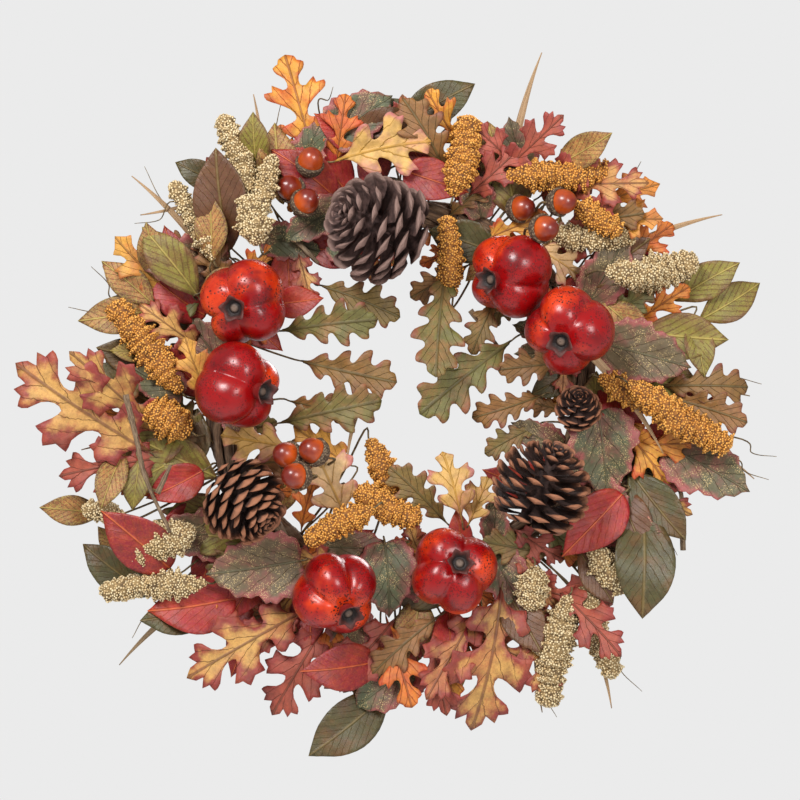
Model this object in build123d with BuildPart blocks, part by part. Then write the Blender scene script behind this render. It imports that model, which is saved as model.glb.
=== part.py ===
"""Harvest door wreath: a grapevine ring dressed with fruit, pine cones, foliage and seed heads.

Millimetres. The wreath hangs in the XZ plane and faces -Y, with the door behind it at +Y.
The origin is the point inside the hanging loop that rests on the hook.

Places round the wreath are given as an angle, anticlockwise from +X as seen from the front, and
an offset outwards from the ring's centre line. A heading is turned from straight outwards.
"""
from build123d import *
import os
from math import cos, hypot, pi, radians, sin, sqrt

os.makedirs("parts", exist_ok=True)

# Base: vine hoops bound to a steel frame wire
ring_radius = 150.0
vine_radius = 4.0
vines_round_core = 6
frame_wire_radius = 1.6
binding_wire_radius = 0.8
binding_wires_count = 10
wrap_clearance = 0.3

# Hanger: a loop of wire with a sleeve that turns on the frame wire
hanger_wire_radius = 1.0
hanger_loop_radius = 14.0
hanger_neck_radius = 1.5
hanger_neck_length = 12.0
hanger_sleeve_length = 7.0
hanger_sleeve_wall = 1.4
hanger_clearance = 0.35

# Dressing
leaf_thickness = 0.8
leaf_stem_radius = 0.8
pick_radius = 1.2
lay_gap = 1.2
fruit_radius = 33.5
fruit_lobe_radius = 26.0
fruit_lobes = 5
crown_radius = 8.0
crown_height = 8.0
crown_wall = 1.6
cone_rows = 8
cone_scale_depth = 5.0
cone_stub_radius = 6.0
nut_radius = 9.0
nut_length = 24.0
cap_wall = 1.6
acorn_stem_radius = 1.0
twig_radius = 2.0
piece_clearance = 0.3

# Width of a leaf as a share of its length
LEAF_WIDTH = {
    "orange_oak": 0.56, "russet_oak": 0.60, "yellow_maple": 0.66, "pale_oak": 0.70,
    "green_oak": 0.52, "magnolia": 0.52, "red": 0.64, "olive": 0.52, "grape": 0.86, "grass": 0.08,
}

# Foliage from the back of the wreath to the front: node, ring angle, offset, heading, length
FOLIAGE = [
    # grass at the back
    ("grass_blades_left", 122, 60, -35, 65),
    ("grass_blades_left", 144, 40, -20, 90),
    ("grass_blades_left", 138, 80, 60, 40),
    ("grass_blades_left", 161, 90, -30, 30),
    ("grass_blades_left", 191, 30, -15, 80),
    ("grass_blades_left", 224, 90, -10, 75),
    ("grass_blades_right", 64, 55, 20, 95),
    ("grass_blades_right", 33, 75, -5, 75),
    ("grass_blades_right", 2, 80, -5, 55),
    ("grass_blades_right", 352, 90, -15, 60),
    ("grass_blades_right", 310, 80, -10, 80),
    ("grass_blades_right", 298, 85, -30, 50),
    # first row
    ("orange_oak_leaves_top", 106, 40, -25, 60),
    ("orange_oak_leaves_top", 117, 45, -15, 45),
    ("russet_oak_leaves_left", 190, 45, -60, 95),
    ("russet_oak_leaves_left", 195, 45, -10, 85),
    ("russet_oak_leaves_left", 167, 15, -25, 60),
    ("russet_oak_leaves_bottom", 242, 20, -5, 60),
    ("russet_oak_leaves_bottom", 305, 50, -35, 80),
    ("russet_oak_leaves_bottom", 309, 50, 10, 70),
    ("russet_oak_leaves_bottom", 269, 30, -40, 80),
    ("russet_oak_leaves_bottom", 277, 40, 5, 70),
    ("russet_oak_leaves_top", 55, 45, -20, 60),
    ("russet_oak_leaves_top", 71, 20, -30, 55),
    ("yellow_maple_leaves", 44, 70, -20, 55),
    ("yellow_maple_leaves", 42, 65, -50, 50),
    ("yellow_maple_leaves", 156, 55, -20, 60),
    ("green_oak_leaves_inner", 126, -40, -145, 70),
    ("green_oak_leaves_inner", 183, -60, 165, 50),
    ("green_oak_leaves_inner", 348, -35, -145, 50),
    ("green_oak_leaves_inner", 62, -30, 150, 55),
    ("green_oak_leaves_inner", 46, -35, -165, 55),
    ("green_oak_leaves_outer", 0, 60, -15, 70),
    ("magnolia_leaves", 130, 70, 25, 45),
    ("magnolia_leaves", 229, 75, -35, 60),
    ("red_leaves", 144, -25, -140, 40),
    ("red_leaves", 201, 20, 10, 50),
    ("olive_leaves_left", 170, 50, 10, 35),
    ("olive_leaves_left", 123, 60, -25, 50),
    ("olive_leaves_right", 15, 50, -25, 70),
    ("grape_leaves", 180, 25, -25, 45),
    ("grape_leaves", 344, 0, 20, 50),
    # second row
    ("orange_oak_leaves_top", 110, 50, -5, 90),
    ("orange_oak_leaves_top", 109, 35, 110, 40),
    ("russet_oak_leaves_left", 193, 55, -45, 125),
    ("russet_oak_leaves_bottom", 252, 45, -15, 85),
    ("russet_oak_leaves_bottom", 290, 35, -55, 80),
    ("russet_oak_leaves_top", 63, 55, 70, 50),
    ("russet_oak_leaves_top", 65, 50, -25, 60),
    ("yellow_maple_leaves", 180, 5, -70, 50),
    ("green_oak_leaves_inner", 161, -65, -175, 80),
    ("green_oak_leaves_inner", 152, -40, -145, 80),
    ("green_oak_leaves_inner", 193, -50, 180, 85),
    ("green_oak_leaves_inner", 70, -40, -170, 90),
    ("green_oak_leaves_inner", 26, -50, -170, 95),
    ("green_oak_leaves_inner", 0, -35, -160, 60),
    ("green_oak_leaves_outer", 2, 60, 0, 70),
    ("magnolia_leaves", 102, 55, -75, 65),
    ("magnolia_leaves", 338, 35, -45, 70),
    ("magnolia_leaves", 319, 40, -15, 50),
    ("magnolia_leaves", 268, 90, -50, 80),
    ("magnolia_leaves", 219, 110, -75, 70),
    ("olive_leaves_left", 161, 60, 30, 60),
    ("olive_leaves_left", 155, 60, -50, 50),
    ("olive_leaves_left", 191, 75, 60, 50),
    ("olive_leaves_right", 25, 30, -65, 55),
    ("grape_leaves", 105, 65, -70, 60),
    ("grape_leaves", 264, -30, 15, 60),
    ("grape_leaves", 273, 65, -55, 60),
    # third row
    ("russet_oak_leaves_bottom", 246, 40, -40, 105),
    ("russet_oak_leaves_top", 52, 65, -55, 65),
    ("pale_oak_leaves", 297, -30, 130, 45),
    ("green_oak_leaves_inner", 11, -10, 175, 60),
    ("green_oak_leaves_outer", 290, -40, -160, 65),
    ("magnolia_leaves", 140, 30, -40, 80),
    ("magnolia_leaves", 90, 65, -55, 70),
    ("magnolia_leaves", 342, 45, -40, 70),
    ("olive_leaves_left", 160, 60, -25, 55),
    ("olive_leaves_left", 202, 110, -35, 50),
    ("olive_leaves_left", 194, 65, 75, 40),
    ("olive_leaves_left", 212, 110, -85, 40),
    ("olive_leaves_right", 56, 70, -30, 50),
    ("grape_leaves", 349, 70, -15, 70),
    ("grape_leaves", 14, 20, -30, 70),
    # fourth row
    ("russet_oak_leaves_bottom", 298, 25, -35, 120),
    ("pale_oak_leaves", 296, -35, 165, 60),
    ("green_oak_leaves_outer", 314, 30, -145, 60),
    ("green_oak_leaves_outer", 280, 30, -65, 70),
    ("magnolia_leaves", 336, 65, -70, 90),
    ("red_leaves", 231, 60, -40, 70),
    ("red_leaves", 265, 65, -80, 60),
    ("olive_leaves_left", 154, 30, -30, 70),
    ("olive_leaves_left", 145, 35, -60, 55),
    ("olive_leaves_right", 31, 20, 5, 50),
    # front row
    ("yellow_maple_leaves", 234, -80, -90, 55),
    ("pale_oak_leaves", 106, 45, -90, 80),
    ("pale_oak_leaves", 49, 10, -75, 50),
    ("pale_oak_leaves", 248, -40, -135, 70),
    ("pale_oak_leaves", 206, -55, -35, 60),
    ("red_leaves", 89, 30, -110, 55),
    ("red_leaves", 217, 80, -85, 70),
    ("olive_leaves_left", 153, 30, -125, 40),
    ("olive_leaves_right", 19, 85, 15, 60),
    ("olive_leaves_right", 14, 100, 15, 60),
    ("olive_leaves_right", 15, 95, -100, 50),
    ("grape_leaves", 239, 5, -50, 75),
    ("grape_leaves", 355, 10, -75, 70),
    ("red_leaves", 336, 45, -110, 70),
    ("grass_blades_right", 10, 10, -55, 90),
    ("grass_blades_left", 206, -110, 40, 40),
]

# Round pieces: ring angle, offset, lean from facing forwards, direction of the lean
POMEGRANATES = {
    "pomegranate_upper_left": (149, -7, 15, 230),
    "pomegranate_left": (177, -22, 50, 350),
    "pomegranate_lower_left": (252, 14, 35, 308),
    "pomegranate_bottom": (287, -6, 15, 60),
    "pomegranate_upper_right": (47, -20, 40, 195),
    "pomegranate_right": (21, -9, 25, 228),
}
# the same, with the cone's reach from its centre to its tip
PINECONES = {
    "pinecone_top": (99, -16, 10, 60, 45),
    "pinecone_lower_left": (214, -2, 65, 315, 38),
    "pinecone_lower_right": (328, -18, 60, 70, 42),
    "pinecone_right": (356, -8, 40, 90, 20),
}
# cluster: ring angle and offset of its middle, ring angle where its stems are pushed into the base,
# and its nuts: heading from the middle, distance in cap radii, lean and direction of the nut's tip
ACORNS = {
    "upper_left": (115, 36, 118, [(69, 1.78, 50, 72), (195, 0.92, 30, 150), (284, 1.41, 40, 38)]),
    "upper_right": (52, 33, 55, [(28, 1.59, 50, 0), (159, 1.49, 45, 5), (271, 1.32, 40, 355)]),
    "lower_left": (213, -56, 228, [(156, 0.95, 45, 160), (262, 1.07, 45, 175), (33, 1.28, 55, 150)]),
}
# node: ring angle, offset, heading, length, thickness
SEED_HEADS = {
    "cream_seed_heads_top_left": [
        (129, 35, -25, 85, 20), (131, 27, -55, 60, 16), (133, 12, -25, 40, 24), (144, 35, -30, 70, 16),
    ],
    "cream_seed_heads_right": [(47, 25, -50, 70, 20), (27, 48, -10, 65, 26), (31, 40, -35, 45, 18)],
    "cream_seed_heads_left": [(204, 90, -40, 35, 16), (213, 45, -10, 60, 26), (224, 65, -40, 85, 20)],
    "cream_seed_heads_bottom": [
        (308, 25, -40, 35, 24), (310, 60, -55, 90, 26), (314, 60, -30, 80, 20), (321, 45, -10, 45, 22),
    ],
    "gold_seed_heads_top": [
        (75, 15, 0, 65, 24), (64, 45, -65, 85, 22), (48, 55, -75, 45, 18), (76, -2, -160, 65, 18),
    ],
    "gold_seed_heads_left": [(179, 25, -50, 90, 24), (190, 20, -40, 40, 26)],
    "gold_seed_heads_right": [(5, 10, -30, 60, 22), (3, 30, -40, 95, 24)],
    "gold_seed_heads_bottom": [(270, -60, -155, 60, 20), (242, -65, 90, 62, 22), (236, -14, 147, 60, 20)],
}
# node: lists of points, each a ring angle and an offset
TWIGS = {
    "twigs_left": [
        [(180, 65), (190, 60), (198, 60), (211, 60)],
        [(202, 54), (197, 38)],
        [(124, 0), (122, -25)],
    ],
    "twigs_right": [
        [(342, 80), (340, 92), (331, 110)],
        [(282, 40), (290, 55)],
        [(50, -62), (25, -62)],
    ],
}

# Depths run forwards from the frame wire, so a depth d is at Y = -d
vine_pitch = 2 * vine_radius + wrap_clearance
bundle_radius = vine_pitch + vine_radius
bundle_depth = frame_wire_radius + wrap_clearance + bundle_radius
wrap_back = frame_wire_radius + wrap_clearance + binding_wire_radius
wrap_front = bundle_depth + bundle_radius + wrap_clearance + binding_wire_radius
wrap_radius = (wrap_front + wrap_back) / 2
wrap_depth = (wrap_front - wrap_back) / 2
dressing_depth = wrap_front + binding_wire_radius + lay_gap

loop_z = -(hanger_loop_radius - hanger_wire_radius)
hinge_z = loop_z - hanger_loop_radius - hanger_neck_length
ring_z = hinge_z - ring_radius


def on_wreath(angle, offset, depth=0.0):
    """The point at a ring angle, offset and depth."""
    reach = ring_radius + offset
    return Vector(reach * cos(radians(angle)), -depth, ring_z + reach * sin(radians(angle)))


def along(direction, length=1.0):
    """A step of the given length in the plane of the wreath."""
    return Vector(length * cos(radians(direction)), 0, length * sin(radians(direction)))


def leaning(lean, toward):
    """The direction of an axis that leans away from straight forwards."""
    return along(toward, sin(radians(lean))) + Vector(0, -cos(radians(lean)), 0)


def into_base(point, angle, offset):
    """The plane and length of a pick that runs from a point into the vine bundle."""
    held = on_wreath(angle, max(-vine_pitch, min(vine_pitch, offset)), bundle_depth)
    run = held - point
    return Plane(origin=point, z_dir=run), run.length


class Pile:
    """Lays each piece on those below it, so that no two of them cross."""

    def __init__(self):
        self.spots = []

    def lay(self, footprint, rounded):
        """Depth of a flat piece's back face, or of a round piece's centre."""
        depth = dressing_depth
        if rounded:
            depth += max(reach for _, _, reach in footprint)
        for x, z, reach in footprint:
            for old_x, old_z, old_reach, old_depth, old_rounded in self.spots:
                apart = hypot(x - old_x, z - old_z)
                if apart >= reach + old_reach + lay_gap:
                    continue
                if not old_rounded:
                    depth = max(depth, old_depth + lay_gap + (reach if rounded else 0))
                elif rounded:
                    touch = reach + old_reach + lay_gap
                    depth = max(depth, old_depth + sqrt(touch**2 - apart**2))
                else:
                    near = max(0.0, apart - reach)
                    depth = max(depth, old_depth + sqrt((old_reach + lay_gap) ** 2 - min(near, old_reach) ** 2))
        front = depth if rounded else depth + leaf_thickness
        self.spots += [(x, z, reach, front, rounded) for x, z, reach in footprint]
        return depth


def leaf_footprint(base, direction, length, width):
    """Circles along the midrib that cover a leaf."""
    spots = []
    for station in (0.06, 0.2, 0.34, 0.48, 0.62, 0.76, 0.9):
        middle = base + along(direction, station * length)
        reach = max(width / 2 * sin(pi * station**0.75), min(0.08 * length, width / 2))
        spots.append((middle.X, middle.Z, reach))
    return spots


def seed_footprint(base, direction, length, thickness):
    """Circles along a seed head that cover it."""
    spots = []
    for station in (0.1, 0.3, 0.5, 0.7, 0.9):
        middle = base + along(direction, station * length)
        spots.append((middle.X, middle.Z, thickness * sqrt(station - station**2)))
    return spots


def write(piece, name):
    piece.part.label = name
    export_step(piece.part, f"parts/{name}.step")


# Vine hoops: one in the core of the bundle and the rest round it
with BuildPart() as core_hoop:
    with Locations(Location((0, -bundle_depth, ring_z), (90, 0, 0))):
        Torus(ring_radius, vine_radius)
write(core_hoop, "vine_hoop_1")

for turn in range(vines_round_core):
    around = 2 * pi * turn / vines_round_core
    hoop_radius = ring_radius + vine_pitch * cos(around)
    hoop_depth = bundle_depth + vine_pitch * sin(around)
    with BuildPart() as hoop:
        with Locations(Location((0, -hoop_depth, ring_z), (90, 0, 0))):
            Torus(hoop_radius, vine_radius)
    write(hoop, f"vine_hoop_{turn + 2}")

with BuildPart() as frame_wire:
    with Locations(Location((0, 0, ring_z), (90, 0, 0))):
        Torus(ring_radius, frame_wire_radius)
write(frame_wire, "frame_wire")

# Binding wires: each one goes round the vines and the frame wire, clear of the hanger
with BuildPart() as binding_wires:
    for turn in range(binding_wires_count):
        angle = 90 + (turn + 0.5) * 360 / binding_wires_count
        middle = on_wreath(angle, 0, wrap_depth)
        across = along(angle + 90)
        with Locations(Plane(origin=middle, x_dir=along(angle), z_dir=across)):
            Torus(wrap_radius, binding_wire_radius)
write(binding_wires, "binding_wires")

# Hanger: sleeve round the frame wire, twisted neck, and the loop for the hook
sleeve_bore = frame_wire_radius + hanger_clearance
sleeve_radius = sleeve_bore + hanger_sleeve_wall
with BuildPart() as hanger_loop:
    with Locations((0, 0, loop_z)):
        with Locations(Rotation(90, 0, 0)):
            Torus(hanger_loop_radius, hanger_wire_radius)
    with BuildSketch(Plane.XY.offset(hinge_z)):
        Circle(hanger_neck_radius)
    extrude(amount=hanger_neck_length)
    with BuildSketch(Plane.YZ.offset(-hanger_sleeve_length / 2)):
        with Locations((0, hinge_z)):
            Circle(sleeve_radius)
    extrude(amount=hanger_sleeve_length)
    with BuildSketch(Plane.YZ.offset(-hanger_sleeve_length / 2)):
        with Locations((0, hinge_z)):
            Circle(sleeve_bore)
    extrude(amount=hanger_sleeve_length, mode=Mode.SUBTRACT)
write(hanger_loop, "hanger_loop")

# Foliage: every leaf is laid on the ones behind it
pile = Pile()
leaves = {}
stems = {"left": [], "right": []}
for node, angle, offset, heading, length in FOLIAGE:
    kind = node.split("_leaves")[0].split("_blades")[0]
    width = LEAF_WIDTH[kind] * length
    direction = angle + heading
    base = on_wreath(angle, offset)
    depth = pile.lay(leaf_footprint(base, direction, length, width), rounded=False)
    base = on_wreath(angle, offset, depth)
    plane = Plane(origin=base, x_dir=along(direction), z_dir=(0, -1, 0))
    leaves.setdefault(node, []).append((plane, length, width))
    stem_start = base + along(direction, 0.1 * length) - Vector(0, leaf_thickness / 2, 0)
    side = "left" if base.X < 0 else "right"
    stems[side].append(into_base(stem_start, angle, offset))

for node, blades in leaves.items():
    with BuildPart() as foliage:
        for plane, length, width in blades:
            with BuildSketch(plane):
                with BuildLine():
                    shoulder = (0.38 * length, width / 2)
                    ThreePointArc((0, 0), (0.12 * length, 0.35 * width), shoulder)
                    ThreePointArc(shoulder, (0.74 * length, 0.3 * width), (length, 0))
                    mirror(about=Plane.XZ)
                make_face()
            extrude(amount=leaf_thickness)
    write(foliage, node)

for side, runs in stems.items():
    with BuildPart() as leaf_stems:
        for plane, length in runs:
            with BuildSketch(plane):
                Circle(leaf_stem_radius)
            extrude(amount=length)
    write(leaf_stems, f"leaf_stems_{side}")

# Pomegranates: lobed fruit with a dried crown, each on a wire pick
lobe_pitch = fruit_radius - fruit_lobe_radius
crown_base = fruit_lobe_radius + piece_clearance
fruit_places = []
for node, (angle, offset, lean, toward) in POMEGRANATES.items():
    middle = on_wreath(angle, offset)
    depth = pile.lay([(middle.X, middle.Z, fruit_radius)], rounded=True)
    middle = on_wreath(angle, offset, depth)
    upright = Plane(origin=middle, z_dir=leaning(lean, toward))
    fruit_places.append((upright, angle, offset))
    with BuildPart(upright) as pomegranate:
        with PolarLocations(lobe_pitch, fruit_lobes):
            Sphere(fruit_lobe_radius)
        Sphere(sqrt(fruit_lobe_radius**2 - lobe_pitch**2))
    write(pomegranate, node)

with BuildPart() as crowns:
    for upright, _, _ in fruit_places:
        with BuildSketch(upright.offset(crown_base)):
            Circle(crown_radius - crown_wall)
        extrude(amount=crown_wall)
        with BuildSketch(upright.offset(crown_base)):
            Circle(crown_radius)
            Circle(crown_radius - crown_wall, mode=Mode.SUBTRACT)
        extrude(amount=crown_height, taper=-15)
write(crowns, "pomegranate_crowns")

with BuildPart() as fruit_picks:
    for upright, angle, offset in fruit_places:
        plane, length = into_base(upright.origin, angle, offset)
        reach = fruit_lobe_radius - lobe_pitch
        with BuildSketch(plane.offset(reach)):
            Circle(pick_radius)
        extrude(amount=length - reach)
write(fruit_picks, "pomegranate_picks")

# Pine cones: rows of woody scales along the cone
cone_places = []
for node, (angle, offset, lean, toward, reach) in PINECONES.items():
    middle = on_wreath(angle, offset)
    depth = pile.lay([(middle.X, middle.Z, reach)], rounded=True)
    middle = on_wreath(angle, offset, depth)
    axis_plane = Plane(origin=middle, z_dir=leaning(lean, toward))
    profile_plane = Plane(origin=middle, x_dir=axis_plane.x_dir, z_dir=axis_plane.y_dir)
    cone_places.append((middle, reach, angle, offset))
    row_height = 2 * reach / (cone_rows + 1)
    outline = [(0, reach - row_height / 2), (cone_stub_radius, reach - row_height / 2)]
    for row in range(cone_rows):
        height = reach - (row + 1) * row_height
        girth = sqrt(max(reach**2 - height**2, (reach / 2) ** 2)) - piece_clearance
        outline += [(girth, height), (girth - cone_scale_depth, height - row_height / 3)]
    outline.append((0, outline[-1][1]))
    with BuildPart() as pinecone:
        with BuildSketch(profile_plane) as profile:
            with BuildLine():
                Polyline(*[(across, -rise) for across, rise in outline], close=True)
            make_face()
        revolve(axis=Axis(middle, axis_plane.z_dir))
    write(pinecone, node)

with BuildPart() as cone_picks:
    for middle, reach, angle, offset in cone_places:
        plane, length = into_base(middle, angle, offset)
        with BuildSketch(plane.offset(reach / 2)):
            Circle(pick_radius)
        extrude(amount=length - reach / 2)
write(cone_picks, "pinecone_picks")

# Seed heads: spindles on wire stems
seed_stems = []
for node, heads in SEED_HEADS.items():
    with BuildPart() as seed_heads:
        for angle, offset, heading, length, thickness in heads:
            direction = angle + heading
            base = on_wreath(angle, offset)
            depth = pile.lay(seed_footprint(base, direction, length, thickness), rounded=True)
            base = on_wreath(angle, offset, depth)
            with BuildSketch(Plane(origin=base, x_dir=along(direction), z_dir=(0, -1, 0))):
                with BuildLine():
                    middle = (length / 2, 0)
                    EllipticalCenterArc(middle, length / 2, thickness / 2, start_angle=0, arc_size=180)
                    Line((0, 0), (length, 0))
                make_face()
            revolve(axis=Axis(base, along(direction)))
            seed_stems.append(into_base(base + along(direction, 0.1 * length), angle, offset))
    write(seed_heads, node)

with BuildPart() as heads_stems:
    for plane, length in seed_stems:
        with BuildSketch(plane):
            Circle(leaf_stem_radius)
        extrude(amount=length)
write(heads_stems, "seed_head_stems")

# Acorns: a nut in a cap, in clusters of three
cap_radius = nut_radius + piece_clearance + cap_wall
cap_reach = nut_length / 2 + piece_clearance + cap_wall
acorn_stems = []
for cluster, (angle, offset, hold, nuts) in ACORNS.items():
    planes = []
    for heading, distance, lean, toward in nuts:
        middle = on_wreath(angle, offset) + along(heading, distance * cap_radius)
        depth = pile.lay([(middle.X, middle.Z, cap_radius)], rounded=True)
        middle -= Vector(0, depth + cap_reach - cap_radius, 0)
        upright = Plane(origin=middle, z_dir=leaning(lean, toward))
        planes.append(upright)
        acorn_stems.append(into_base(middle - upright.z_dir * cap_reach, hold, offset))
    with BuildPart() as acorn_nuts:
        for upright in planes:
            with BuildSketch(Plane(origin=upright.origin, x_dir=upright.z_dir, z_dir=upright.y_dir)):
                with BuildLine():
                    EllipticalCenterArc((0, 0), nut_length / 2, nut_radius, start_angle=0, arc_size=180)
                    Line((-nut_length / 2, 0), (nut_length / 2, 0))
                make_face()
            revolve(axis=Axis(upright.origin, upright.z_dir))
    write(acorn_nuts, f"acorn_nuts_{cluster}")
    inside = (nut_length / 2 + piece_clearance, nut_radius + piece_clearance)
    outside = (inside[0] + cap_wall, inside[1] + cap_wall)
    with BuildPart() as acorn_caps:
        for upright in planes:
            with BuildSketch(Plane(origin=upright.origin, x_dir=upright.z_dir, z_dir=upright.y_dir)):
                with BuildLine():
                    outer = EllipticalCenterArc((0, 0), outside[0], outside[1], start_angle=90, arc_size=90)
                    inner = EllipticalCenterArc((0, 0), inside[0], inside[1], start_angle=90, arc_size=90)
                    Line(outer @ 0, inner @ 0)
                    Line(outer @ 1, inner @ 1)
                make_face()
            revolve(axis=Axis(upright.origin, upright.z_dir))
    write(acorn_caps, f"acorn_caps_{cluster}")

with BuildPart() as acorn_stalks:
    for plane, length in acorn_stems:
        with BuildSketch(plane):
            Circle(acorn_stem_radius)
        extrude(amount=length)
write(acorn_stalks, "acorn_stems")

# Twigs: bare crooked sticks that lie on the foliage
for node, routes in TWIGS.items():
    with BuildPart() as twigs:
        for route in routes:
            points = [on_wreath(angle, offset) for angle, offset in route]
            footprint = []
            for start, end in zip(points, points[1:]):
                steps = max(2, int((end - start).length / twig_radius / 3))
                for step in range(steps + 1):
                    spot = start + (end - start) * (step / steps)
                    footprint.append((spot.X, spot.Z, 2 * twig_radius))
            depth = pile.lay(footprint, rounded=True)
            points = [on_wreath(angle, offset, depth) for angle, offset in route]
            with BuildLine() as path:
                Polyline(*points)
            with BuildSketch(Plane(origin=points[0], z_dir=points[1] - points[0])):
                Circle(twig_radius)
            sweep(path=path.line, transition=Transition.ROUND)
    write(twigs, node)
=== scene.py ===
import math
import random

import bpy
import numpy as np
from mathutils import Matrix, Vector
from mathutils.geometry import delaunay_2d_cdt


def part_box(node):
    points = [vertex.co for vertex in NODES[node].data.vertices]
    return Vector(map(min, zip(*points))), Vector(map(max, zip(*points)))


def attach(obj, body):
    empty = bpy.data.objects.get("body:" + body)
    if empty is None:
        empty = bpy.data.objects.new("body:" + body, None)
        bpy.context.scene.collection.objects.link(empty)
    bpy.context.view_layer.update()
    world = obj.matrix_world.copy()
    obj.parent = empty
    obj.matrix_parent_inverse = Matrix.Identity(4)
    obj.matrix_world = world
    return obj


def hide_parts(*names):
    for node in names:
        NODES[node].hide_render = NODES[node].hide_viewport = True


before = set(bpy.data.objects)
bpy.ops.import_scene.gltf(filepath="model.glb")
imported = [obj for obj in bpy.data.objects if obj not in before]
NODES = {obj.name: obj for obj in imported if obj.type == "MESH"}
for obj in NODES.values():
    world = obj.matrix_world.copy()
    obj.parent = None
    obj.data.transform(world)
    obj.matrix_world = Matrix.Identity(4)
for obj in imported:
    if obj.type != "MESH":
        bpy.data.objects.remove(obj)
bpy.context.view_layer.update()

MM = 0.001
FRONT = np.array((0.0, -1.0, 0.0))
GOLDEN_ANGLE = math.pi * (3 - math.sqrt(5))


def box_of(node):
    """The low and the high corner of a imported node."""
    return (np.array(corner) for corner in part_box(node))


# The ring and the plane that the leaves start from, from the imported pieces
core_low, core_high = box_of("vine_hoop_1")
ring_centre = (core_low + core_high) / 2
vine_radius = (core_high[1] - core_low[1]) / 2
ring_radius = (core_high[0] - core_low[0]) / 2 - vine_radius
leaf_back = -max(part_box("orange_oak_leaves_top")[1].y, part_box("russet_oak_leaves_left")[1].y)


# ---------------------------------------------------------------- small tools


def unit(vector):
    return np.asarray(vector, float) / np.linalg.norm(vector)


def box_centre(points):
    return (points.max(0) + points.min(0)) / 2


def on_circle(around):
    """The point of a circle round the ring's axis, as seen from the front."""
    return np.array((math.cos(around), 0, math.sin(around)))


def islands(node):
    """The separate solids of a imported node, each as an array of points."""
    mesh = NODES[node].data
    points = np.empty(len(mesh.vertices) * 3)
    mesh.vertices.foreach_get("co", points)
    points = points.reshape(-1, 3)
    edges = np.empty(len(mesh.edges) * 2, int)
    mesh.edges.foreach_get("vertices", edges)
    _, first, merged = np.unique(np.round(points * 1e6), axis=0, return_index=True, return_inverse=True)
    edges = merged.ravel()[edges].reshape(-1, 2)
    label = np.arange(len(first))
    while True:
        lower = label.copy()
        np.minimum.at(lower, edges[:, 0], label[edges[:, 1]])
        np.minimum.at(lower, edges[:, 1], label[edges[:, 0]])
        lower = lower[lower]
        if (lower == label).all():
            break
        label = lower
    found = [points[first[label == mark]] for mark in np.unique(label)]
    return sorted(found, key=lambda solid: tuple(np.round(solid.mean(0), 5)))


def blade_place(solid):
    """Base, direction, length and width of a flat leaf; its blunt end is the base."""
    flat = solid[:, [0, 2]]
    spread = flat - flat.mean(0)
    start = flat[np.argmax((spread**2).sum(1))]
    end = flat[np.argmax(((flat - start) ** 2).sum(1))]
    length = np.linalg.norm(end - start)
    along = (end - start) / length
    side = (flat - start) @ np.array((-along[1], along[0]))
    station = ((flat - start) @ along)[np.abs(side) > 0.9 * np.abs(side).max()].mean() / length
    if station > 0.5:
        start, along = end, -along
    depth = solid[:, 1].mean()
    base = np.array((start[0], depth, start[1]))
    return base, np.array((along[0], 0, along[1])), length, 2 * np.abs(side).max()


def long_axis(solid):
    """Centre, direction and half length of a long solid."""
    centre = box_centre(solid)
    _, _, turn = np.linalg.svd(solid - centre, full_matrices=False)
    reach = (solid - centre) @ turn[0]
    return centre + turn[0] * (reach.max() + reach.min()) / 2, turn[0], (reach.max() - reach.min()) / 2


def smooth_path(points, steps=6):
    """Points along a smooth line through the given ones."""
    points = np.asarray(points, float)
    ends = np.vstack((2 * points[0] - points[1], points, 2 * points[-1] - points[-2]))
    path = []
    for a, b, c, d in zip(ends, ends[1:], ends[2:], ends[3:]):
        for t in np.arange(steps) / steps:
            square, cube = 2 * a - 5 * b + 4 * c - d, 3 * b - a - 3 * c + d
            path.append(0.5 * (2 * b + (c - a) * t + square * t**2 + cube * t**3))
    path.append(points[-1])
    return np.array(path)


class Shape:
    """Points and faces, with what the materials read at each point."""

    def __init__(self, points, faces, uv=None, edge=None, tone=0.5):
        count = len(points)
        self.points = np.asarray(points, float)
        self.faces = faces
        self.uv = np.zeros((count, 2)) if uv is None else uv
        self.edge = np.zeros(count) if edge is None else edge
        self.tone = np.full(count, tone)


def band(here, there, sides):
    """The faces between two rings of points, given by their first points."""
    pairs = [(turn, (turn + 1) % sides) for turn in range(sides)]
    return [(here + turn, here + after, there + after, there + turn) for turn, after in pairs]


def tube(path, radii, sides=8, closed=False, tone=0.5, lumps=0.0, chance=None):
    """A round tube along a path; a closed path makes a ring."""
    path = np.asarray(path, float)
    count = len(path)
    radii = np.broadcast_to(radii, count)
    ahead = np.roll(path, -1, 0) - np.roll(path, 1, 0)
    if not closed:
        ahead[0] = path[1] - path[0]
        ahead[-1] = path[-1] - path[-2]
    ahead /= np.linalg.norm(ahead, axis=1)[:, None]
    side = unit(np.cross(ahead[0], (0.3, 1.0, 0.2)))
    points, uv = [], []
    travelled = 0.0
    for step in range(count):
        side = unit(side - ahead[step] * (side @ ahead[step]))
        up = np.cross(ahead[step], side)
        if step:
            travelled += np.linalg.norm(path[step] - path[step - 1])
        for turn in range(sides):
            around = 2 * math.pi * turn / sides
            reach = radii[step] * (1 + (chance.uniform(-lumps, lumps) if chance else 0))
            points.append(path[step] + reach * (math.cos(around) * side + math.sin(around) * up))
            uv.append((travelled, turn / sides))
    faces = []
    for step in range(count if closed else count - 1):
        faces += band(step * sides, (step + 1) % count * sides, sides)
    if not closed:
        faces.append(tuple(reversed(range(sides))))
        faces.append(tuple(range((count - 1) * sides, count * sides)))
    return Shape(points, faces, np.array(uv), tone=tone)


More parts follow.
